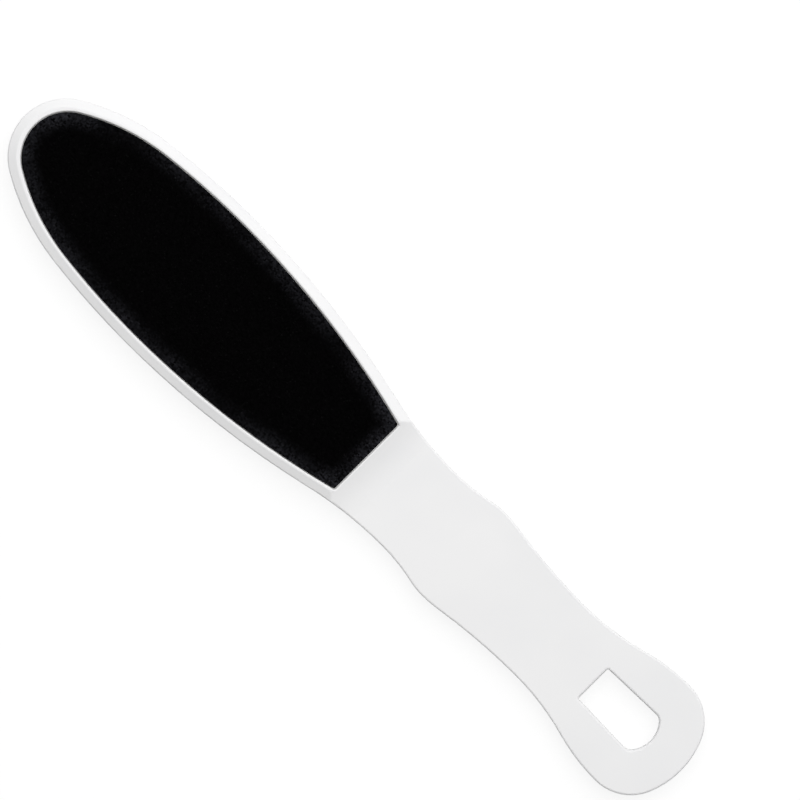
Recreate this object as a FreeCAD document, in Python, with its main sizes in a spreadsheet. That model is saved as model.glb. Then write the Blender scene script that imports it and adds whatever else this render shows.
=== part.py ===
# Foot file: a white moulded paddle whose head carries an abrasive sheet in a recess on each face.
# X runs along the paddle from the tip of the head to the hanging loop, Y across it, Z up through its thickness.
# The origin lies under the middle of the length, on the surface that the rear grit rests on. Millimetres.
import FreeCAD, Part
import math
import os

import Sketcher

# Driving dimensions: name, value, what it measures
SIZES = [
    ("overall_length", 247.65, "tip of the head to the end of the loop"),
    ("head_front_length", 62.2, "tip to the widest place of the head"),
    ("head_rear_length", 86.4, "widest place of the head to the neck"),
    ("neck_to_grip", 0.198, "neck to the swell of the grip, as a share of the run from neck to loop"),
    ("waist_to_loop", 0.41, "waist to the widest place of the loop, as a share of the same run"),
    ("loop_to_end", 14.4, "widest place of the loop to its end"),
    ("head_width", 47.7, "widest place of the head"),
    ("neck_width", 27.7, "narrow place behind the head"),
    ("grip_width", 31.4, "swell of the grip"),
    ("waist_width", 26.3, "narrow place of the handle"),
    ("loop_width", 35.8, "widest place of the loop"),
    ("tip_radius", 15.7, "arc at the tip of the head"),
    ("shoulder_radius", 65.0, "arc between the tip and the side of the head"),
    ("side_flatness", 1.57, "side arc's radius over that of a side which meets the tip arc directly"),
    ("end_radius", 25.0, "arc at the end of the loop"),
    ("head_turn", 0.71, "share of the sweep from head to neck that bulges"),
    ("neck_turn", 0.75, "share of the sweep from neck to grip that is hollow"),
    ("grip_turn", 0.19, "share of the sweep from grip to waist that bulges"),
    ("waist_turn", 0.56, "share of the sweep from waist to loop that is hollow"),
    ("handle_thickness", 4.5, "face to face of the handle and the loop"),
    ("rim_height", 2.1, "rise of the head's rim above the handle face"),
    ("bevel_width", 2.4, "sloping band along the outer edge of the head"),
    ("bevel_drop", 1.0, "fall of that band"),
    ("bevel_crest_round", 0.8, "rounding along the top of that band"),
    ("edge_round", 0.6, "rounding of the paddle's outer edges"),
    ("ramp_lead", 0.7, "how far the ramp begins before the end of the recess"),
    ("crest_radius", 1.5, "rounding at the top of the ramp"),
    ("ramp_radius", 22.0, "hollow of the ramp from the rim down to the handle"),
    ("hole_to_end", 11.35, "outer end of the hanging hole to the end of the loop"),
    ("hole_length", 21.7, "hanging hole, along the paddle"),
    ("hole_inner_width", 11.2, "hanging hole at its square end"),
    ("hole_flare", 1.6, "degrees that each side of the hole opens towards the end"),
    ("hole_end_radius", 8.0, "arc at the outer end of the hole"),
    ("hole_outer_corner", 2.7, "corner between the side and the arc of the hole"),
    ("hole_inner_corner", 0.5, "corner at the square end of the hole"),
    ("hole_edge_round", 0.7, "rounding of the hole's edges"),
    ("rim_width", 3.1, "outer edge of the head to the recess, at the sides"),
    ("tip_rim_width", 3.75, "outer edge of the head to the recess, at the tip"),
    ("recess_length", 125.35, "recess, along the paddle"),
    ("recess_tip_radius", 12.6, "arc of the recess at the tip"),
    ("recess_corner", 0.4, "corners of the recess and the sheet at the square end"),
    ("recess_depth", 0.9, "recess below the rim"),
    ("rim_inner_round", 0.45, "rounding of the rim's inner edge"),
    ("sheet_clearance", 0.2, "gap between the sheet and the wall of the recess"),
    ("adhesive_thickness", 0.15, "film that bonds the sheet to the recess"),
    ("backing_thickness", 0.45, "sheet that carries the grit"),
    ("grit_thickness", 0.45, "bonded grain, to the tips of the grains"),
    ("cut_allowance", 3.0, "how far a cut runs past the paddle"),
]
size = {name: value for name, value, note in SIZES}

# Numbers of the points of a curve in a sketch, and of the sketch's own X axis
START, END, CENTRE = range(1, 4)
X_AXIS = -1
UP = FreeCAD.Vector(0, 0, 1)
NEAR = 0.01

# Tests for the edges of the paddle: upward part of a face's normal, and the angle of a crease in radians
LOOKS_UP = 0.3
UPRIGHT = 0.1
CREASED = 0.1

# Rules that several sketches and placements share
HALF_HEAD = "(Sizes.handle_thickness / 2 + Sizes.rim_height)"
STACK = "(Sizes.adhesive_thickness + Sizes.backing_thickness + Sizes.grit_thickness)"
NECK_AT = "(Sizes.head_front_length + Sizes.head_rear_length)"
LOOP_AT = "(Sizes.overall_length - Sizes.loop_to_end)"
GRIP_AT = f"({NECK_AT} + Sizes.neck_to_grip * ({LOOP_AT} - {NECK_AT}))"
WAIST_AT = f"({LOOP_AT} - Sizes.waist_to_loop * ({LOOP_AT} - {NECK_AT}))"
SIDE_RADIUS = (
    "(Sizes.side_flatness * ((Sizes.head_front_length - Sizes.tip_radius)^2 + (Sizes.head_width / 2)^2"
    " - Sizes.tip_radius^2) / (Sizes.head_width - 2 * Sizes.tip_radius))"
)
REAR_RADIUS = (
    "(Sizes.head_turn * (Sizes.head_rear_length^2 + ((Sizes.head_width - Sizes.neck_width) / 2)^2)"
    " / abs(Sizes.head_width - Sizes.neck_width))"
)

doc = FreeCAD.newDocument("foot_file")


def write_sheet():
    """Puts every driving dimension in the sheet, with its name and note beside it."""
    sheet = doc.addObject("Spreadsheet::Sheet", "Sizes")
    for row, (name, value, note) in enumerate(SIZES, start=1):
        sheet.set(f"A{row}", str(value))
        sheet.setAlias(f"A{row}", name)
        sheet.set(f"B{row}", note)
    doc.recompute()


def point(along, across):
    return FreeCAD.Vector(along, across, 0)


def inner_meeting(centre_a, radius_a, centre_b, radius_b):
    """Where two circles touch, one inside the other."""
    return centre_a + (centre_a - centre_b) * (radius_a / (radius_b - radius_a))


def circles_cross(centre_a, radius_a, centre_b, radius_b):
    """The crossing of two circles that lies further along the paddle."""
    between = centre_b - centre_a
    reach = (radius_a**2 - radius_b**2 + between.Length**2) / (2 * between.Length)
    rise = math.sqrt(radius_a**2 - reach**2)
    ahead = between.normalize()
    sideways = FreeCAD.Vector(-ahead.y, ahead.x, 0)
    return max((centre_a + ahead * reach + sideways * side for side in (rise, -rise)), key=lambda p: p.x)


# Sketches of half an outline, drawn as a chain of curves from the axis to the axis, from the tip to the loop

def origin_plane(body, role):
    """One of the body's own origin planes."""
    return next(feature for feature in body.Origin.OriginFeatures if feature.Role == role)


def new_sketch(body, name, role):
    """A sketch on one of the body's own origin planes."""
    sketch = body.newObject("Sketcher::SketchObject", name)
    sketch.AttachmentSupport = [(origin_plane(body, role), "")]
    sketch.MapMode = "FlatFace"
    return sketch


def add_line(sketch, begin, finish):
    return sketch.addGeometry(Part.LineSegment(begin, finish)), START, END


def add_arc(sketch, centre, begin, finish, bulges=True):
    """Adds an arc that runs from begin to finish, and says which of its ends is which."""
    first, last = (finish, begin) if bulges else (begin, finish)
    angles = [math.atan2(end.y - centre.y, end.x - centre.x) for end in (first, last)]
    circle = Part.Circle(centre, UP, (begin - centre).Length)
    number = sketch.addGeometry(Part.ArcOfCircle(circle, *angles))
    return (number, END, START) if bulges else (number, START, END)


def add_sweep(sketch, begin, finish, turn):
    """Adds the two arcs of a sweep between two level places, and returns them."""
    run, drop = finish.x - begin.x, finish.y - begin.y
    radii = (run**2 + drop**2) / (2 * abs(drop))
    falls = drop < 0
    first_centre = begin + point(0, -1 if falls else 1) * (radii * turn)
    second_centre = finish + point(0, 1 if falls else -1) * (radii * (1 - turn))
    middle = begin + (finish - begin) * turn
    return [add_arc(sketch, first_centre, begin, middle, falls),
            add_arc(sketch, second_centre, middle, finish, not falls)]


def join_chain(sketch, chain):
    """Joins the chain smoothly, sets its ends on the axis and closes it along the axis."""
    for (curve, _, finish), (following, begin, _) in zip(chain, chain[1:]):
        sketch.addConstraint(Sketcher.Constraint("Tangent", curve, finish, following, begin))
    first, begin, _ = chain[0]
    last, _, finish = chain[-1]
    axis = sketch.addGeometry(Part.LineSegment(sketch.getPoint(last, finish), sketch.getPoint(first, begin)))
    sketch.addConstraint(Sketcher.Constraint("Coincident", axis, START, last, finish))
    sketch.addConstraint(Sketcher.Constraint("Coincident", axis, END, first, begin))
    sketch.addConstraint(Sketcher.Constraint("PointOnObject", axis, START, X_AXIS))
    sketch.addConstraint(Sketcher.Constraint("PointOnObject", axis, END, X_AXIS))


def bind(sketch, kind, place, name, rule):
    """Adds a dimension at its drawn value and ties it to the sheet."""
    if kind == "Radius":
        drawn = sketch.Geometry[place[0]].Radius
    else:
        drawn = sketch.getPoint(*place).x if kind == "DistanceX" else sketch.getPoint(*place).y
    number = sketch.addConstraint(Sketcher.Constraint(kind, *place, drawn))
    sketch.renameConstraint(number, name)
    sketch.setExpression("Constraints." + name, rule)


def bind_level_place(sketch, curve, end, name, along_rule, across_rule):
    """Ties the place where a curve runs level: its centre is straight above or below it."""
    bind(sketch, "DistanceX", (curve, end), name + "_along", along_rule)
    bind(sketch, "DistanceY", (curve, end), name + "_across", across_rule)
    sketch.addConstraint(Sketcher.Constraint("Vertical", curve, end, curve, CENTRE))


def add_head_front(sketch, tip, tip_radius, shoulder_radius, side_radius, half_width):
    """Adds the tip, shoulder and side arcs of the head, up to its widest place."""
    widest = point(size["head_front_length"], half_width)
    tip_centre = point(tip + tip_radius, 0)
    side_centre = widest - point(0, side_radius)
    shoulder_centre = circles_cross(
        tip_centre, shoulder_radius - tip_radius, side_centre, side_radius - shoulder_radius)
    tip_end = inner_meeting(tip_centre, tip_radius, shoulder_centre, shoulder_radius)
    shoulder_end = inner_meeting(shoulder_centre, shoulder_radius, side_centre, side_radius)
    return [add_arc(sketch, tip_centre, point(tip, 0), tip_end),
            add_arc(sketch, shoulder_centre, tip_end, shoulder_end),
            add_arc(sketch, side_centre, shoulder_end, widest)]


def side_and_rear_radius():
    """Radii of the two long arcs of the head, as SIDE_RADIUS and REAR_RADIUS give them."""
    half_width = size["head_width"] / 2
    tip_radius = size["tip_radius"]
    plain_side = (size["head_front_length"] - tip_radius)**2 + half_width**2 - tip_radius**2
    fall = (size["head_width"] - size["neck_width"]) / 2
    rear = (size["head_rear_length"]**2 + fall**2) / (2 * abs(fall))
    return size["side_flatness"] * plain_side / (2 * (half_width - tip_radius)), size["head_turn"] * rear


def draw_paddle(sketch):
    """Half of the paddle's outline: head, neck, grip, waist and loop."""
    side_radius, _ = side_and_rear_radius()
    neck_at = size["head_front_length"] + size["head_rear_length"]
    loop_at = size["overall_length"] - size["loop_to_end"]
    grip_at = neck_at + size["neck_to_grip"] * (loop_at - neck_at)
    waist_at = loop_at - size["waist_to_loop"] * (loop_at - neck_at)
    widest = point(size["head_front_length"], size["head_width"] / 2)
    neck = point(neck_at, size["neck_width"] / 2)
    grip = point(grip_at, size["grip_width"] / 2)
    waist = point(waist_at, size["waist_width"] / 2)
    loop = point(loop_at, size["loop_width"] / 2)

    head = add_head_front(sketch, 0, size["tip_radius"], size["shoulder_radius"], side_radius, widest.y)
    head_sweep = add_sweep(sketch, widest, neck, size["head_turn"])
    neck_sweep = add_sweep(sketch, neck, grip, size["neck_turn"])
    grip_sweep = add_sweep(sketch, grip, waist, size["grip_turn"])
    waist_sweep = add_sweep(sketch, waist, loop, size["waist_turn"])
    end_radius = size["end_radius"]
    end_centre = point(size["overall_length"] - end_radius, 0)
    back = loop.x - end_centre.x
    corner_radius = (end_radius**2 - back**2 - loop.y**2) / (2 * (end_radius - loop.y))
    corner_centre = loop - point(0, corner_radius)
    corner_end = inner_meeting(corner_centre, corner_radius, end_centre, end_radius)
    corner = add_arc(sketch, corner_centre, loop, corner_end)
    end = add_arc(sketch, end_centre, corner_end, end_centre + point(end_radius, 0))
    join_chain(sketch, head + head_sweep + neck_sweep + grip_sweep + waist_sweep + [corner, end])

    (tip, tip_begin, _), (shoulder, _, _), (side, _, side_finish) = head
    sketch.addConstraint(Sketcher.Constraint("DistanceX", tip, tip_begin, 0.0))
    sketch.addConstraint(Sketcher.Constraint("PointOnObject", tip, CENTRE, X_AXIS))
    sketch.addConstraint(Sketcher.Constraint("PointOnObject", end[0], CENTRE, X_AXIS))
    bind(sketch, "Radius", (tip,), "tip_radius", "Sizes.tip_radius")
    bind(sketch, "Radius", (shoulder,), "shoulder_radius", "Sizes.shoulder_radius")
    bind(sketch, "Radius", (side,), "side_radius", SIDE_RADIUS)
    bind(sketch, "Radius", (end[0],), "end_radius", "Sizes.end_radius")
    bind(sketch, "DistanceX", (end[0], end[2]), "overall_length", "Sizes.overall_length")
    bind_level_place(sketch, side, side_finish, "head", "Sizes.head_front_length", "Sizes.head_width / 2")
    head_at = "Sizes.head_front_length"
    for name, sweep, turn, begin_at, finish_at in (
            ("neck", head_sweep, "Sizes.head_turn", head_at, NECK_AT),
            ("grip", neck_sweep, "Sizes.neck_turn", NECK_AT, GRIP_AT),
            ("waist", grip_sweep, "Sizes.grip_turn", GRIP_AT, WAIST_AT),
            ("loop", waist_sweep, "Sizes.waist_turn", WAIST_AT, LOOP_AT)):
        (first, _, middle), (second, _, finish) = sweep
        bind(sketch, "DistanceX", (first, middle), name + "_turn",
             f"{begin_at} + {turn} * ({finish_at} - {begin_at})")
        bind_level_place(sketch, second, finish, name, finish_at, f"Sizes.{name}_width / 2")


def draw_sheet(sketch, gap, gap_rule):
    """Half of the recess's outline, or of the sheet that lies in it with a gap all round."""
    side_radius, rear_radius = side_and_rear_radius()
    inset = size["rim_width"] + gap
    rear_radius -= inset
    half_width = size["head_width"] / 2 - inset
    tip = size["tip_rim_width"] + gap
    finish_at = size["tip_rim_width"] + size["recess_length"] - gap
    head = add_head_front(sketch, tip, size["recess_tip_radius"] - gap, size["shoulder_radius"] - inset,
                          side_radius - inset, half_width)
    widest = point(size["head_front_length"], half_width)
    rear_centre = widest - point(0, rear_radius)
    corner_radius = size["recess_corner"]
    corner_at = finish_at - corner_radius
    corner_reach = rear_radius - corner_radius
    corner_centre = point(corner_at, rear_centre.y + math.sqrt(corner_reach**2 - (corner_at - widest.x)**2))
    corner_begin = inner_meeting(corner_centre, corner_radius, rear_centre, rear_radius)
    corner_end = corner_centre + point(corner_radius, 0)
    rear = add_arc(sketch, rear_centre, widest, corner_begin)
    corner = add_arc(sketch, corner_centre, corner_begin, corner_end)
    square_end = add_line(sketch, corner_end, point(finish_at, 0))
    join_chain(sketch, head + [rear, corner, square_end])

    (tip_arc, tip_begin, _), (shoulder, _, _), (side, _, side_finish) = head
    inset_rule = f"(Sizes.rim_width + {gap_rule})"
    sketch.addConstraint(Sketcher.Constraint("PointOnObject", tip_arc, CENTRE, X_AXIS))
    sketch.addConstraint(Sketcher.Constraint("Vertical", square_end[0]))
    bind(sketch, "DistanceX", (tip_arc, tip_begin), "tip", f"Sizes.tip_rim_width + {gap_rule}")
    bind(sketch, "Radius", (tip_arc,), "tip_radius", f"Sizes.recess_tip_radius - {gap_rule}")
    bind(sketch, "Radius", (shoulder,), "shoulder_radius", f"Sizes.shoulder_radius - {inset_rule}")
    bind(sketch, "Radius", (side,), "side_radius", f"{SIDE_RADIUS} - {inset_rule}")
    bind(sketch, "Radius", (rear[0],), "rear_radius", f"{REAR_RADIUS} - {inset_rule}")
    bind(sketch, "Radius", (corner[0],), "corner_radius", "Sizes.recess_corner")
    bind(sketch, "DistanceX", (square_end[0], END), "square_end",
         f"Sizes.tip_rim_width + Sizes.recess_length - {gap_rule}")
    bind_level_place(sketch, side, side_finish, "head", "Sizes.head_front_length",
                     f"Sizes.head_width / 2 - {inset_rule}")


def draw_hole(sketch):
    """Half of the hanging hole: square towards the handle, flared sides, round towards the end."""
    finish_at = size["overall_length"] - size["hole_to_end"]
    begin_at = finish_at - size["hole_length"]
    flare = math.radians(size["hole_flare"])
    ahead = point(math.cos(flare), math.sin(flare))
    inward = point(math.sin(flare), -math.cos(flare))
    square_corner = point(begin_at, size["hole_inner_width"] / 2)
    inner_radius = size["hole_inner_corner"]
    inner_reach = inner_radius * (1 - math.sin(flare)) / math.cos(flare)
    inner_begin = square_corner - point(0, inner_reach)
    inner_end = square_corner + ahead * inner_reach
    inner_centre = inner_begin + point(inner_radius, 0)
    end_radius = size["hole_end_radius"]
    end_centre = point(finish_at - end_radius, 0)
    outer_radius = size["hole_outer_corner"]
    rail = square_corner + inward * outer_radius
    from_end = rail - end_centre
    along = from_end.dot(ahead)
    slide = -along + math.sqrt(along**2 - from_end.dot(from_end) + (end_radius - outer_radius)**2)
    outer_centre = rail + ahead * slide
    side_end = outer_centre - inward * outer_radius
    outer_end = inner_meeting(outer_centre, outer_radius, end_centre, end_radius)

    square_end = add_line(sketch, point(begin_at, 0), inner_begin)
    inner_corner = add_arc(sketch, inner_centre, inner_begin, inner_end)
    side = add_line(sketch, inner_end, side_end)
    outer_corner = add_arc(sketch, outer_centre, side_end, outer_end)
    end = add_arc(sketch, end_centre, outer_end, point(finish_at, 0))
    join_chain(sketch, [square_end, inner_corner, side, outer_corner, end])

    corner_mark = sketch.addGeometry(Part.Point(square_corner), True)
    sketch.addConstraint(Sketcher.Constraint("PointOnObject", corner_mark, START, square_end[0]))
    sketch.addConstraint(Sketcher.Constraint("PointOnObject", corner_mark, START, side[0]))
    sketch.addConstraint(Sketcher.Constraint("Vertical", square_end[0]))
    sketch.addConstraint(Sketcher.Constraint("PointOnObject", end[0], CENTRE, X_AXIS))
    finish_rule = "Sizes.overall_length - Sizes.hole_to_end"
    bind(sketch, "DistanceX", (end[0], end[2]), "outer_end", finish_rule)
    bind(sketch, "DistanceX", (corner_mark, START), "square_end", finish_rule + " - Sizes.hole_length")
    bind(sketch, "DistanceY", (corner_mark, START), "inner_width", "Sizes.hole_inner_width / 2")
    flare_number = sketch.addConstraint(Sketcher.Constraint("Angle", side[0], flare))
    sketch.renameConstraint(flare_number, "flare")
    sketch.setExpression("Constraints.flare", "Sizes.hole_flare * 1 deg")
    bind(sketch, "Radius", (inner_corner[0],), "inner_corner", "Sizes.hole_inner_corner")
    bind(sketch, "Radius", (outer_corner[0],), "outer_corner", "Sizes.hole_outer_corner")
    bind(sketch, "Radius", (end[0],), "end_radius", "Sizes.hole_end_radius")


def draw_handle_cut(sketch):
    """Side view of what is cut from above the handle: crest, ramp and handle face, with X along the paddle."""
    crest_at = size["tip_rim_width"] + size["recess_length"] - size["ramp_lead"]
    handle_level = size["handle_thickness"] / 2
    head_level = handle_level + size["rim_height"]
    radii = size["crest_radius"] + size["ramp_radius"]
    run = math.sqrt(2 * size["rim_height"] * radii - size["rim_height"]**2)
    crest = point(crest_at, head_level)
    foot = point(crest_at + run, handle_level)
    far = size["overall_length"] + size["cut_allowance"]
    top = head_level + size["cut_allowance"]
    middle = crest + (foot - crest) * (size["crest_radius"] / radii)
    crest_arc = add_arc(sketch, crest - point(0, size["crest_radius"]), crest, middle)
    ramp_arc = add_arc(sketch, foot + point(0, size["ramp_radius"]), middle, foot, bulges=False)
    corners = [foot, point(far, handle_level), point(far, top), point(crest_at, top), crest]
    lines = [add_line(sketch, begin, finish) for begin, finish in zip(corners, corners[1:])]
    face, far_wall, lid, near_wall = lines

    sketch.addConstraint(Sketcher.Constraint("Tangent", crest_arc[0], crest_arc[2], ramp_arc[0], ramp_arc[1]))
    sketch.addConstraint(Sketcher.Constraint("Tangent", ramp_arc[0], ramp_arc[2], face[0], START))
    for line, following in ((face, far_wall), (far_wall, lid), (lid, near_wall)):
        sketch.addConstraint(Sketcher.Constraint("Coincident", line[0], END, following[0], START))
    sketch.addConstraint(Sketcher.Constraint("Coincident", near_wall[0], END, crest_arc[0], crest_arc[1]))
    for line, direction in zip(lines, ("Horizontal", "Vertical", "Horizontal", "Vertical")):
        sketch.addConstraint(Sketcher.Constraint(direction, line[0]))
    bind(sketch, "Radius", (crest_arc[0],), "crest_radius", "Sizes.crest_radius")
    bind(sketch, "Radius", (ramp_arc[0],), "ramp_radius", "Sizes.ramp_radius")
    bind(sketch, "DistanceY", (face[0], END), "handle_level", "Sizes.handle_thickness / 2")
    bind(sketch, "DistanceX", (face[0], END), "far", "Sizes.overall_length + Sizes.cut_allowance")
    bind(sketch, "DistanceY", (lid[0], START), "lid", HALF_HEAD + " + Sizes.cut_allowance")
    bind_level_place(sketch, crest_arc[0], crest_arc[1], "crest",
                     "Sizes.tip_rim_width + Sizes.recess_length - Sizes.ramp_lead", HALF_HEAD)


# Features

def add_feature(body, kind, name):
    feature = body.newObject("PartDesign::" + kind, name)
    feature.Refine = True
    return feature


def mirror(body, feature, role, name):
    """Repeats a feature on the other side of one of the body's origin planes."""
    doc.recompute()
    mirrored = add_feature(body, "Mirrored", name)
    mirrored.Originals = [feature]
    mirrored.MirrorPlane = (origin_plane(body, role), [""])
    body.Tip = mirrored
    doc.recompute()


def fold(shape, edge):
    """Normals of the two faces that meet at the middle of an edge, the more level face first."""
    middle = edge.valueAt((edge.FirstParameter + edge.LastParameter) / 2)
    faces = shape.ancestorsOfType(edge, Part.Face)
    normals = [face.normalAt(*face.Surface.parameter(middle)) for face in faces]
    normals.sort(key=lambda normal: -normal.z)
    return normals[0], normals[-1]


def is_top_edge(shape, edge):
    """A face that looks up meets an upright wall."""
    level, steep = fold(shape, edge)
    return level.z > LOOKS_UP and abs(steep.z) < UPRIGHT


def is_crest(shape, edge):
    """Two faces that look up meet at an angle."""
    level, steep = fold(shape, edge)
    return steep.z > LOOKS_UP and level.getAngle(steep) > CREASED


def pick_edges(body, wanted, lowest=0.0):
    """The body so far, and the names of those of its edges that pass the test and lie high enough."""
    base = body.Tip
    names = [f"Edge{number}" for number, edge in enumerate(base.Shape.Edges, start=1)
             if edge.BoundBox.ZMin > lowest - NEAR and wanted(base.Shape, edge)]
    return base, names


def round_edges(body, name, radius_rule, edges):
    """Rounds edges of the body so far."""
    fillet = add_feature(body, "Fillet", name)
    fillet.Base = edges
    fillet.setExpression("Radius", radius_rule)
    doc.recompute()


def place(body, height_rule):
    """Centres a body's length on the origin and lifts it to its height."""
    body.setExpression("Placement.Base.x", "-Sizes.overall_length / 2")
    body.setExpression("Placement.Base.z", height_rule)


def make_paddle():
    """The moulded piece: its front half is shaped first, and the rear half mirrors it."""
    body = doc.addObject("PartDesign::Body", "paddle")
    above_floor = size["handle_thickness"] / 2 + size["rim_height"] - size["recess_depth"] / 2

    outline = new_sketch(body, "outline", "XY_Plane")
    draw_paddle(outline)
    slab = add_feature(body, "Pad", "half_slab")
    slab.Profile = outline
    slab.setExpression("Length", HALF_HEAD)
    mirror(body, slab, "XZ_Plane", "slab")

    top_edges = pick_edges(body, is_top_edge)
    bevel = add_feature(body, "Chamfer", "bevel")
    bevel.Base = top_edges
    bevel.ChamferType = "Two distances"
    bevel.setExpression("Size", "Sizes.bevel_drop")
    bevel.setExpression("Size2", "Sizes.bevel_width")
    doc.recompute()

    side_view = new_sketch(body, "side_view", "XZ_Plane")
    draw_handle_cut(side_view)
    handle_cut = add_feature(body, "Pocket", "handle_cut")
    handle_cut.Profile = side_view
    handle_cut.Type = "ThroughAll"
    handle_cut.SideType = "Symmetric"
    doc.recompute()

    round_edges(body, "crest_rounding", "Sizes.bevel_crest_round", pick_edges(body, is_crest))
    round_edges(body, "outer_rounding", "Sizes.edge_round", pick_edges(body, is_top_edge))

    hole_view = new_sketch(body, "hole_view", "XY_Plane")
    draw_hole(hole_view)
    hole = add_feature(body, "Pocket", "half_hole")
    hole.Profile = hole_view
    hole.Type = "ThroughAll"
    hole.SideType = "Symmetric"
    mirror(body, hole, "XZ_Plane", "hole")
    round_edges(body, "hole_rounding", "Sizes.hole_edge_round", pick_edges(body, is_top_edge))

    recess_view = new_sketch(body, "recess_view", "XY_Plane")
    recess_view.setExpression("AttachmentOffset.Base.z", HALF_HEAD)
    draw_sheet(recess_view, 0, "0")
    recess = add_feature(body, "Pocket", "half_recess")
    recess.Profile = recess_view
    recess.setExpression("Length", "Sizes.recess_depth")
    mirror(body, recess, "XZ_Plane", "recess")
    round_edges(body, "rim_rounding", "Sizes.rim_inner_round", pick_edges(body, is_top_edge, above_floor))

    both_halves = add_feature(body, "Mirrored", "both_halves")
    both_halves.TransformMode = "Whole shape"
    both_halves.MirrorPlane = (origin_plane(body, "XY_Plane"), [""])
    body.Tip = both_halves
    place(body, f"{HALF_HEAD} + {STACK} - Sizes.recess_depth")


def make_layer(name, thickness_rule, height_rule):
    """One layer of an abrasive sheet, cut to the outline of the recess less its clearance."""
    body = doc.addObject("PartDesign::Body", name)
    outline = new_sketch(body, name + "_outline", "XY_Plane")
    draw_sheet(outline, size["sheet_clearance"], "Sizes.sheet_clearance")
    layer = add_feature(body, "Pad", name + "_half")
    layer.Profile = outline
    layer.setExpression("Length", thickness_rule)
    mirror(body, layer, "XZ_Plane", name + "_whole")
    place(body, height_rule)


def make_sheets():
    """The two abrasive sheets, each a film of adhesive, a backing and a coat of grit, from the floor outwards."""
    adhesive, backing, grit = "Sizes.adhesive_thickness", "Sizes.backing_thickness", "Sizes.grit_thickness"
    front_floor = f"{STACK} + 2 * ({HALF_HEAD} - Sizes.recess_depth)"
    make_layer("front_adhesive_film", adhesive, front_floor)
    make_layer("front_backing_sheet", backing, f"{front_floor} + {adhesive}")
    make_layer("front_grit_coat", grit, f"{front_floor} + {adhesive} + {backing}")
    make_layer("rear_adhesive_film", adhesive, f"{grit} + {backing}")
    make_layer("rear_backing_sheet", backing, grit)
    make_layer("rear_grit_coat", grit, "0")


def check_document():
    """Stops if any feature failed or any piece is not one valid solid."""
    failed = [item.Name for item in doc.Objects if {"Invalid", "Error"} & set(item.State)]
    bodies = [item for item in doc.Objects if item.TypeId == "PartDesign::Body"]
    failed += [body.Name for body in bodies
               if body.Shape.isNull() or not body.Shape.isValid() or len(body.Shape.Solids) != 1]
    if failed:
        raise RuntimeError("failed: " + ", ".join(failed))
    return bodies


write_sheet()
make_paddle()
make_sheets()
doc.recompute()
os.makedirs("parts", exist_ok=True)
for piece in check_document():
    piece.Shape.exportStep(f"parts/{piece.Label}.step")
    box = piece.Shape.optimalBoundingBox()
    print(f"{piece.Label}: {box.XLength:.2f} x {box.YLength:.2f} x {box.ZLength:.2f} mm,"
          f" from z {box.ZMin:.2f}, {piece.Shape.Volume / 1000:.2f} cm3")
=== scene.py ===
import math
import random

import bmesh
import bpy
import numpy as np
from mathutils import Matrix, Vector


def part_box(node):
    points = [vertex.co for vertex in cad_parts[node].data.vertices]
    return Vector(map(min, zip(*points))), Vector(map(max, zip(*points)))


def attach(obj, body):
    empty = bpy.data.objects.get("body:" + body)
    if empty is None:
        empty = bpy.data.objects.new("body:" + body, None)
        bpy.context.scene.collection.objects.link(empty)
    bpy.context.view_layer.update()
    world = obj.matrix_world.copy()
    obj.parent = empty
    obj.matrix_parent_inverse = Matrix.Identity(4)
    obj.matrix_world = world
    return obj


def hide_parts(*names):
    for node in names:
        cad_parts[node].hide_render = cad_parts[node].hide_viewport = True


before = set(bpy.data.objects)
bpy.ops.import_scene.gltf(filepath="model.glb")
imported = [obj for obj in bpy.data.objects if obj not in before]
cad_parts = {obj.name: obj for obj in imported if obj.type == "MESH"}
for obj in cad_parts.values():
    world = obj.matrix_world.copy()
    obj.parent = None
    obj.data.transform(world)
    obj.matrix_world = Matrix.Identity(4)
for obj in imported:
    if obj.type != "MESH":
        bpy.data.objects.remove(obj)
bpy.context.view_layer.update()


# The paddle is one injection moulding of white styrene plastic: head, handle and hanging loop together.
# The mould is polished but not mirror bright, so the skin is satin, with a faint ripple left by shrinkage.
# The head's bevelled rim frames a shallow recess on each face, where the abrasive sheets are stuck in.

MM = 0.001
paddle_low, paddle_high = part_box("paddle")
PLASTIC_DULL = (0.815, 0.815, 0.82)
PLASTIC_BRIGHT = (0.84, 0.838, 0.84)
DRIFTS_PER_METRE = 38
DRIFT_RANGE = (0.35, 0.65)
PLASTIC_SHINE = 0.2
SATIN_SPOTS_PER_METRE = 700
SATIN_RANGE = (0.3, 0.7)
SATIN_ROUGHNESS = (0.44, 0.54)
RIPPLES_PER_METRE = 60
RIPPLE_DEPTH = 0.06 * MM
MOULD_GRAINS_PER_METRE = 4200
MOULD_GRAIN_DEPTH = 0.003 * MM
PARTING_HEIGHT = (paddle_low.z + paddle_high.z) / 2
PARTING_WIDTH = 0.16 * MM
PARTING_RIDGE = 0.02 * MM


def new_material(name):
    """A material with a Principled surface, and its node tree ready for more nodes."""
    material = bpy.data.materials.new(name)
    material.use_nodes = True
    return material, material.node_tree.nodes, material.node_tree.links


def add_node(nodes, kind, **values):
    """A node with some of its properties and inputs set by name."""
    node = nodes.new("ShaderNode" + kind)
    for name, value in values.items():
        if name in node.inputs:
            node.inputs[name].default_value = value
        else:
            setattr(node, name, value)
    return node


def noise(nodes, links, place, scale, detail=2):
    """Noise on the piece's own coordinates, in features per metre."""
    texture = add_node(nodes, "TexNoise", Scale=scale, Detail=detail)
    links.new(place.outputs["Object"], texture.inputs["Vector"])
    return texture.outputs["Fac"]


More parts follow.
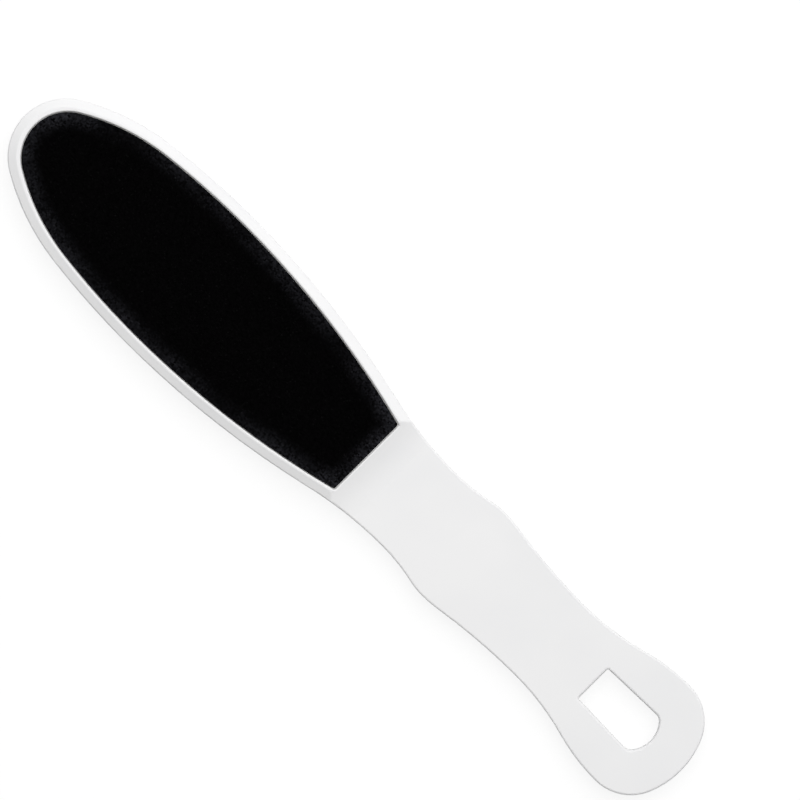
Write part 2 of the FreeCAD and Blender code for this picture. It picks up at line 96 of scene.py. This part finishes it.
def map_range(nodes, links, source, given, wanted):
    """A value stretched from a given range to a wanted one and held inside it."""
    stretch = add_node(nodes, "MapRange")
    for name, value in zip(("From Min", "From Max", "To Min", "To Max"), (*given, *wanted)):
        stretch.inputs[name].default_value = value
    links.new(source, stretch.inputs["Value"])
    return stretch.outputs["Result"]


def mix_colours(nodes, links, share, first, second):
    """A colour between two others."""
    mix = add_node(nodes, "Mix", data_type="RGBA")
    mix.inputs["A"].default_value = (*first, 1)
    mix.inputs["B"].default_value = (*second, 1)
    links.new(share, mix.inputs["Factor"])
    return mix.outputs["Result"]


def bump(nodes, links, height, depth, under=None):
    """A relief of a given depth in metres, laid over another one."""
    relief = add_node(nodes, "Bump", Distance=depth)
    links.new(height, relief.inputs["Height"])
    if under:
        links.new(under, relief.inputs["Normal"])
    return relief.outputs["Normal"]


def white_plastic():
    """Satin white styrene with a slight drift of tone, a ripple, fine mould grain and a faint parting line."""
    material, nodes, links = new_material("white_plastic_satin")
    surface = nodes["Principled BSDF"]
    surface.inputs["Specular IOR Level"].default_value = PLASTIC_SHINE
    place = add_node(nodes, "TexCoord")
    drift = map_range(nodes, links, noise(nodes, links, place, DRIFTS_PER_METRE), DRIFT_RANGE, (0, 1))
    links.new(mix_colours(nodes, links, drift, PLASTIC_DULL, PLASTIC_BRIGHT), surface.inputs["Base Color"])
    satin = noise(nodes, links, place, SATIN_SPOTS_PER_METRE)
    links.new(map_range(nodes, links, satin, SATIN_RANGE, SATIN_ROUGHNESS), surface.inputs["Roughness"])
    ripple = bump(nodes, links, noise(nodes, links, place, RIPPLES_PER_METRE, detail=1), RIPPLE_DEPTH)
    grain = bump(nodes, links, noise(nodes, links, place, MOULD_GRAINS_PER_METRE), MOULD_GRAIN_DEPTH, ripple)
    height = add_node(nodes, "SeparateXYZ")
    links.new(place.outputs["Object"], height.inputs["Vector"])
    on_parting_line = add_node(nodes, "Math", operation="COMPARE")
    on_parting_line.inputs[1].default_value = PARTING_HEIGHT
    on_parting_line.inputs[2].default_value = PARTING_WIDTH / 2
    links.new(height.outputs["Z"], on_parting_line.inputs[0])
    parting_line = bump(nodes, links, on_parting_line.outputs["Value"], PARTING_RIDGE, grain)
    links.new(parting_line, surface.inputs["Normal"])
    return material


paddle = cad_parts["paddle"]
paddle.data.materials[0] = white_plastic()


# The adhesive films bond the sheets to the floors of the two recesses.
# Each is a clear acrylic film, die-cut with its sheet and yellowed a little; only its cut edge can be seen.

FILM_CLEAR = (0.68, 0.63, 0.5)
FILM_BUBBLE = (0.78, 0.75, 0.66)
FILM_ROUGHNESS = 0.35
BUBBLES_PER_METRE = 1500
BUBBLE_RANGE = (0.4, 0.7)


def adhesive_film():
    """Clear acrylic film with small trapped bubbles."""
    material, nodes, links = new_material("adhesive_film")
    surface = nodes["Principled BSDF"]
    surface.inputs["Roughness"].default_value = FILM_ROUGHNESS
    place = add_node(nodes, "TexCoord")
    bubbles = map_range(nodes, links, noise(nodes, links, place, BUBBLES_PER_METRE), BUBBLE_RANGE, (0, 1))
    links.new(mix_colours(nodes, links, bubbles, FILM_CLEAR, FILM_BUBBLE), surface.inputs["Base Color"])
    return material


film_finish = adhesive_film()
for node in ("front_adhesive_film", "rear_adhesive_film"):
    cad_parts[node].data.materials[0] = film_finish


# The backing sheets carry the grain. They are cotton cloth filled with dark resin, die-cut to the recess.
# Only the cut edge shows, in the narrow gap beside the rim, with the ends of the threads in it.

CLOTH_GAP = (0.02, 0.018, 0.016)
CLOTH_THREAD = (0.07, 0.063, 0.055)
CLOTH_ROUGHNESS = 0.8
WEAVE_SCALE = 620
THREAD_WANDER = 0.8
THREAD_RELIEF = 0.03 * MM


def backing_cloth():
    """Dark resin-filled cloth, with threads across and along."""
    material, nodes, links = new_material("backing_cloth")
    surface = nodes["Principled BSDF"]
    surface.inputs["Roughness"].default_value = CLOTH_ROUGHNESS
    place = add_node(nodes, "TexCoord")
    weave = add_node(nodes, "Math", operation="MAXIMUM")
    for direction, socket in zip(("X", "Y"), weave.inputs):
        threads = add_node(nodes, "TexWave", bands_direction=direction, Scale=WEAVE_SCALE,
                           Distortion=THREAD_WANDER)
        links.new(place.outputs["Object"], threads.inputs["Vector"])
        links.new(threads.outputs["Fac"], socket)
    height = weave.outputs["Value"]
    links.new(mix_colours(nodes, links, height, CLOTH_GAP, CLOTH_THREAD), surface.inputs["Base Color"])
    links.new(bump(nodes, links, height, THREAD_RELIEF), surface.inputs["Normal"])
    return material


cloth_finish = backing_cloth()
for node in ("front_backing_sheet", "rear_backing_sheet"):
    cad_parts[node].data.materials[0] = cloth_finish


# The grit coats are crushed black silicon carbide, bonded to the backing in dark resin.
# The front is coarse and the rear finer. Towards the cut edge of the sheet the grain is paler with painted
# light, standing for light thrown back onto it from the white rim.
# Each coat is as high as its tallest grains, and the grains between them stand lower.

COARSE_GRAIN = 0.42 * MM
COARSE_RELIEF = 0.25 * MM
COARSE_DARK = (0.0006, 0.0005, 0.0006)
# The next two are painted light: the pale colour and width of the band at the coarse sheet's edge, standing
# for light thrown back from the white rim.
COARSE_PAINTED_LIGHT = (0.0225, 0.0227, 0.027)
COARSE_PAINTED_LIGHT_WIDTH = 5.5 * MM
FINE_GRAIN = 0.36 * MM
FINE_RELIEF = 0.13 * MM
FINE_DARK = (0.0035, 0.0034, 0.0036)
# The next two are painted light: the pale colour and width of the band at the fine sheet's edge, standing for
# light thrown back from the white rim.
FINE_PAINTED_LIGHT = (0.022, 0.022, 0.024)
FINE_PAINTED_LIGHT_WIDTH = 4 * MM
# Depths are shares of the relief, from the tallest grain down, and the scatter is a share of a grain.
PEAK_DEPTHS = (0, 0.5)
VALLEY_DEPTHS = (0.6, 1)
GRAIN_SCATTER = 0.3
SAME_PLACE = 0.001 * MM
SAME_SLOPE = math.radians(0.05)
LEVEL_NORMAL = 0.5


def sheet_edge(node):
    """Places and outward normals of the straight steps that make the outline of a layer."""
    layer = bmesh.new()
    layer.from_mesh(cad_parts[node].data)
    bmesh.ops.remove_doubles(layer, verts=layer.verts, dist=SAME_PLACE)
    bmesh.ops.dissolve_limit(layer, angle_limit=SAME_SLOPE, verts=layer.verts, edges=layer.edges)
    walls = [face for face in layer.faces if abs(face.normal.z) < LEVEL_NORMAL]
    steps = [(wall.calc_center_median(), wall.normal.copy()) for wall in walls]
    layer.free()
    return steps


def grit_coat(name, node, grain, relief, faces_up, seed):
    """A coat the size of its layer, with its outer side broken into grains."""
    low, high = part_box(node)
    outer, inner = (high.z, low.z) if faces_up else (low.z, high.z)
    inward = -1 if faces_up else 1
    steps = sheet_edge(node)
    length, half_width = high.x - low.x, high.y
    # Half of the coat is cut out of a grid one metre wide, scaled to fit, and mirrored.
    coat = bmesh.new()
    columns, rows = round(length / grain), round(half_width / grain)
    bmesh.ops.create_grid(coat, x_segments=columns, y_segments=rows, size=0.5)
    bmesh.ops.scale(coat, vec=(length, half_width, 1), verts=coat.verts)
    bmesh.ops.translate(coat, vec=((low.x + high.x) / 2, half_width / 2, outer), verts=coat.verts)
    for place, outward in steps:
        if place.y > -grain:
            bmesh.ops.bisect_plane(coat, geom=coat.verts[:] + coat.edges[:] + coat.faces[:], dist=SAME_PLACE,
                                   plane_co=place, plane_no=outward, clear_outer=True)
    bmesh.ops.mirror(coat, geom=coat.verts[:] + coat.edges[:] + coat.faces[:], axis="Y",
                     merge_dist=SAME_PLACE)

    chance = random.Random(seed)
    shade = coat.faces.layers.float.new("shade")
    for face in coat.faces:
        face[shade] = chance.random()
    peaks = bmesh.ops.poke(coat, faces=coat.faces[:])["verts"]
    for vertex in coat.verts:
        vertex.co.z = outer + inward * relief * chance.uniform(*VALLEY_DEPTHS)
    for vertex in peaks:
        vertex.co.z = outer + inward * relief * chance.uniform(*PEAK_DEPTHS)

    places = np.array([vertex.co for vertex in coat.verts])
    outwards = np.array([outward for _, outward in steps])
    reaches = np.array([place.dot(outward) for place, outward in steps])
    depths = (reaches - places @ outwards.T).min(axis=1)
    from_edge = coat.verts.layers.float.new("from_edge")
    for vertex, depth in zip(coat.verts, depths):
        vertex[from_edge] = depth
        if depth > grain:
            vertex.co.x += grain * chance.uniform(-GRAIN_SCATTER, GRAIN_SCATTER)
            vertex.co.y += grain * chance.uniform(-GRAIN_SCATTER, GRAIN_SCATTER)

    rim = [edge for edge in coat.edges if edge.is_boundary]
    walls = bmesh.ops.extrude_edge_only(coat, edges=rim)["geom"]
    feet = [item for item in walls if isinstance(item, bmesh.types.BMVert)]
    for foot in feet:
        foot.co.z = inner
    bmesh.ops.edgeloop_fill(coat, edges=[item for item in walls if isinstance(item, bmesh.types.BMEdge)
                                         and all(vertex in feet for vertex in item.verts)])
    bmesh.ops.recalc_face_normals(coat, faces=coat.faces)
    mesh = bpy.data.meshes.new(name)
    coat.to_mesh(mesh)
    coat.free()
    piece = bpy.data.objects.new(name, mesh)
    bpy.context.scene.collection.objects.link(piece)
    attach(piece, "root")
    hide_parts(node)
    return piece


sheet_low, sheet_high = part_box("front_grit_coat")
SHEET_MIDDLE = ((sheet_low.x + sheet_high.x) / 2, 0, 0)
GLINTING_SHADES = (0.8, 1)
BLOTCHES_PER_METRE = 95
BLOTCH_RANGE = (0.36, 0.64)
BLOTCH_STRENGTH = (0.35, 1.2)
END_DISTANCE = (49 * MM, 62 * MM)
END_STRENGTH = (0.6, 1)
GRIT_SHINE = 0.02
GRIT_ROUGHNESS = (0.7, 0.32)


def grain_tone():
    """Node group: which grains glint, and how much painted light each takes near the sheet's edge, by its own
    chance and its place on the sheet.
    """
    group = bpy.data.node_groups.new("grain_tone", "ShaderNodeTree")
    group.interface.new_socket("Painted light width", in_out="INPUT", socket_type="NodeSocketFloat")
    group.interface.new_socket("Glint", in_out="OUTPUT", socket_type="NodeSocketFloat")
    group.interface.new_socket("Painted light", in_out="OUTPUT", socket_type="NodeSocketFloat")
    nodes, links = group.nodes, group.links
    given = nodes.new("NodeGroupInput")
    result = nodes.new("NodeGroupOutput")
    place = add_node(nodes, "TexCoord")
    shade = add_node(nodes, "Attribute", attribute_name="shade").outputs["Fac"]
    links.new(map_range(nodes, links, shade, GLINTING_SHADES, (0, 1)), result.inputs["Glint"])

    # From here the group builds painted light: paler grain at the sheet's edge and ends, standing for light
    # thrown back from the white rim, broken up grain by grain and in patches.
    edge = add_node(nodes, "Attribute", attribute_name="from_edge")
    fade = add_node(nodes, "MapRange", interpolation_type="SMOOTHSTEP")
    fade.inputs["From Min"].default_value = 0
    fade.inputs["To Min"].default_value = 1
    fade.inputs["To Max"].default_value = 0
    links.new(edge.outputs["Fac"], fade.inputs["Value"])
    links.new(given.outputs["Painted light width"], fade.inputs["From Max"])
    patches = noise(nodes, links, place, BLOTCHES_PER_METRE)
    blotches = map_range(nodes, links, patches, BLOTCH_RANGE, BLOTCH_STRENGTH)
    from_middle = add_node(nodes, "VectorMath", operation="DISTANCE")
    from_middle.inputs[1].default_value = SHEET_MIDDLE
    links.new(place.outputs["Object"], from_middle.inputs[0])
    ends = map_range(nodes, links, from_middle.outputs["Value"], END_DISTANCE, END_STRENGTH)
    painted_light = fade.outputs["Result"]
    for share in (shade, blotches, ends):
        product = add_node(nodes, "Math", operation="MULTIPLY")
        links.new(painted_light, product.inputs[0])
        links.new(share, product.inputs[1])
        painted_light = product.outputs["Value"]
    links.new(painted_light, result.inputs["Painted light"])
    return group


def grit_finish(name, painted_light_width, dark, pale):
    """Black bonded grain: dark in the middle of the sheet, paler with painted light towards the edge, where
    the white rim throws light back.
    """
    material, nodes, links = new_material(name)
    surface = nodes["Principled BSDF"]
    surface.inputs["Specular IOR Level"].default_value = GRIT_SHINE
    tone = add_node(nodes, "Group", node_tree=tone_group)
    tone.inputs["Painted light width"].default_value = painted_light_width
    # The base colour mixes in painted light near the sheet's edge.
    links.new(mix_colours(nodes, links, tone.outputs["Painted light"], dark, pale), surface.inputs["Base Color"])
    gloss = map_range(nodes, links, tone.outputs["Glint"], (0, 1), GRIT_ROUGHNESS)
    links.new(gloss, surface.inputs["Roughness"])
    return material


tone_group = grain_tone()
front_grit = grit_coat("front_grit", "front_grit_coat", COARSE_GRAIN, COARSE_RELIEF, faces_up=True, seed=11)
coarse_finish = grit_finish("coarse_black_grit", COARSE_PAINTED_LIGHT_WIDTH, COARSE_DARK, COARSE_PAINTED_LIGHT)
front_grit.data.materials.append(coarse_finish)
rear_grit = grit_coat("rear_grit", "rear_grit_coat", FINE_GRAIN, FINE_RELIEF, faces_up=False, seed=12)
fine_finish = grit_finish("fine_black_grit", FINE_PAINTED_LIGHT_WIDTH, FINE_DARK, FINE_PAINTED_LIGHT)
rear_grit.data.materials.append(fine_finish)


# The file lies on a white studio table, which takes a soft shadow and still looks plain white.
# Light comes from a soft sky, brightest overhead, and from a large lamp beyond the paddle's upper right side.
# The camera looks straight down from far above, with the paddle running across the frame's diagonal.

TABLE_REACH = 6
TABLE_WHITE = (0.85, 0.85, 0.85, 1)
TABLE_ROUGHNESS = 0.9
SEEN_SHADE = (0.14, 0.14, 0.14, 1)
SEEN_GLOW = 0.87


def white_table():
    """White table: a plain matt white lights the piece, and what is seen is paler, with a soft shadow."""
    material, nodes, links = new_material("white_table")
    plain = nodes["Principled BSDF"]
    plain.inputs["Base Color"].default_value = TABLE_WHITE
    plain.inputs["Roughness"].default_value = TABLE_ROUGHNESS
    plain.inputs["Specular IOR Level"].default_value = 0
    shade = add_node(nodes, "BsdfDiffuse", Color=SEEN_SHADE)
    glow = add_node(nodes, "Emission", Color=(1, 1, 1, 1), Strength=SEEN_GLOW)
    seen = add_node(nodes, "AddShader")
    links.new(shade.outputs["BSDF"], seen.inputs[0])
    links.new(glow.outputs["Emission"], seen.inputs[1])
    ray = add_node(nodes, "LightPath")
    direct = add_node(nodes, "Math", operation="ADD", use_clamp=True)
    links.new(ray.outputs["Is Camera Ray"], direct.inputs[0])
    links.new(ray.outputs["Is Glossy Ray"], direct.inputs[1])
    choose = add_node(nodes, "MixShader")
    links.new(direct.outputs["Value"], choose.inputs["Fac"])
    links.new(plain.outputs["BSDF"], choose.inputs[1])
    links.new(seen.outputs["Shader"], choose.inputs[2])
    links.new(choose.outputs["Shader"], nodes["Material Output"].inputs["Surface"])
    return material


table_shape = bmesh.new()
bmesh.ops.create_grid(table_shape, x_segments=1, y_segments=1, size=TABLE_REACH)
table_mesh = bpy.data.meshes.new("table")
table_shape.to_mesh(table_mesh)
table_shape.free()
table = bpy.data.objects.new("table", table_mesh)
table_mesh.materials.append(white_table())
bpy.context.scene.collection.objects.link(table)

SKY_HEIGHTS = (0.2, 0.9)
LIGHT_AT_HORIZON = 0.05
LIGHT_OVERHEAD = 0.52
world = bpy.data.worlds.new("studio")
bpy.context.scene.world = world
world.use_nodes = True
air = world.node_tree.nodes
air_links = world.node_tree.links
background = air["Background"]
background.inputs["Color"].default_value = (1, 1, 1, 1)
sky_place = add_node(air, "TexCoord")
sky_height = add_node(air, "SeparateXYZ")
air_links.new(sky_place.outputs["Generated"], sky_height.inputs["Vector"])
soft_sky = map_range(air, air_links, sky_height.outputs["Z"], SKY_HEIGHTS, (LIGHT_AT_HORIZON, LIGHT_OVERHEAD))
sky_ray = add_node(air, "LightPath")
seen_sky = add_node(air, "Mix", B=1)
air_links.new(sky_ray.outputs["Is Camera Ray"], seen_sky.inputs["Factor"])
air_links.new(soft_sky, seen_sky.inputs["A"])
air_links.new(seen_sky.outputs["Result"], background.inputs["Strength"])

LAMP_TURN = math.radians(24)
LAMP_HEIGHT = math.radians(59)
LAMP_DISTANCE = 1.6
LAMP_SIZE = 1.6
LAMP_POWER = 25.8
towards_lamp = Vector((-math.sin(LAMP_TURN) * math.cos(LAMP_HEIGHT),
                       math.cos(LAMP_TURN) * math.cos(LAMP_HEIGHT),
                       math.sin(LAMP_HEIGHT)))
lamp_light = bpy.data.lights.new("soft_lamp", "AREA")
lamp_light.size = LAMP_SIZE
lamp_light.energy = LAMP_POWER
lamp = bpy.data.objects.new("soft_lamp", lamp_light)
lamp.location = towards_lamp * LAMP_DISTANCE
lamp.rotation_euler = towards_lamp.to_track_quat("Z", "Y").to_euler()
bpy.context.scene.collection.objects.link(lamp)

LENS = 400
FRAME_WIDTH = 213.6 * MM
FRAME_MIDDLE = (0.74 * MM, 17.1 * MM)
FRAME_HEIGHT = 6.8 * MM
FRAME_TURN = math.radians(45)
eye_data = bpy.data.cameras.new("camera")
eye_data.lens = LENS
eye_distance = FRAME_WIDTH * LENS / eye_data.sensor_width
eye = bpy.data.objects.new("camera", eye_data)
eye.location = (*FRAME_MIDDLE, FRAME_HEIGHT + eye_distance)
eye.rotation_euler = (0, 0, FRAME_TURN)
bpy.context.scene.collection.objects.link(eye)
bpy.context.scene.camera = eye
bpy.context.scene.view_settings.view_transform = "Standard"
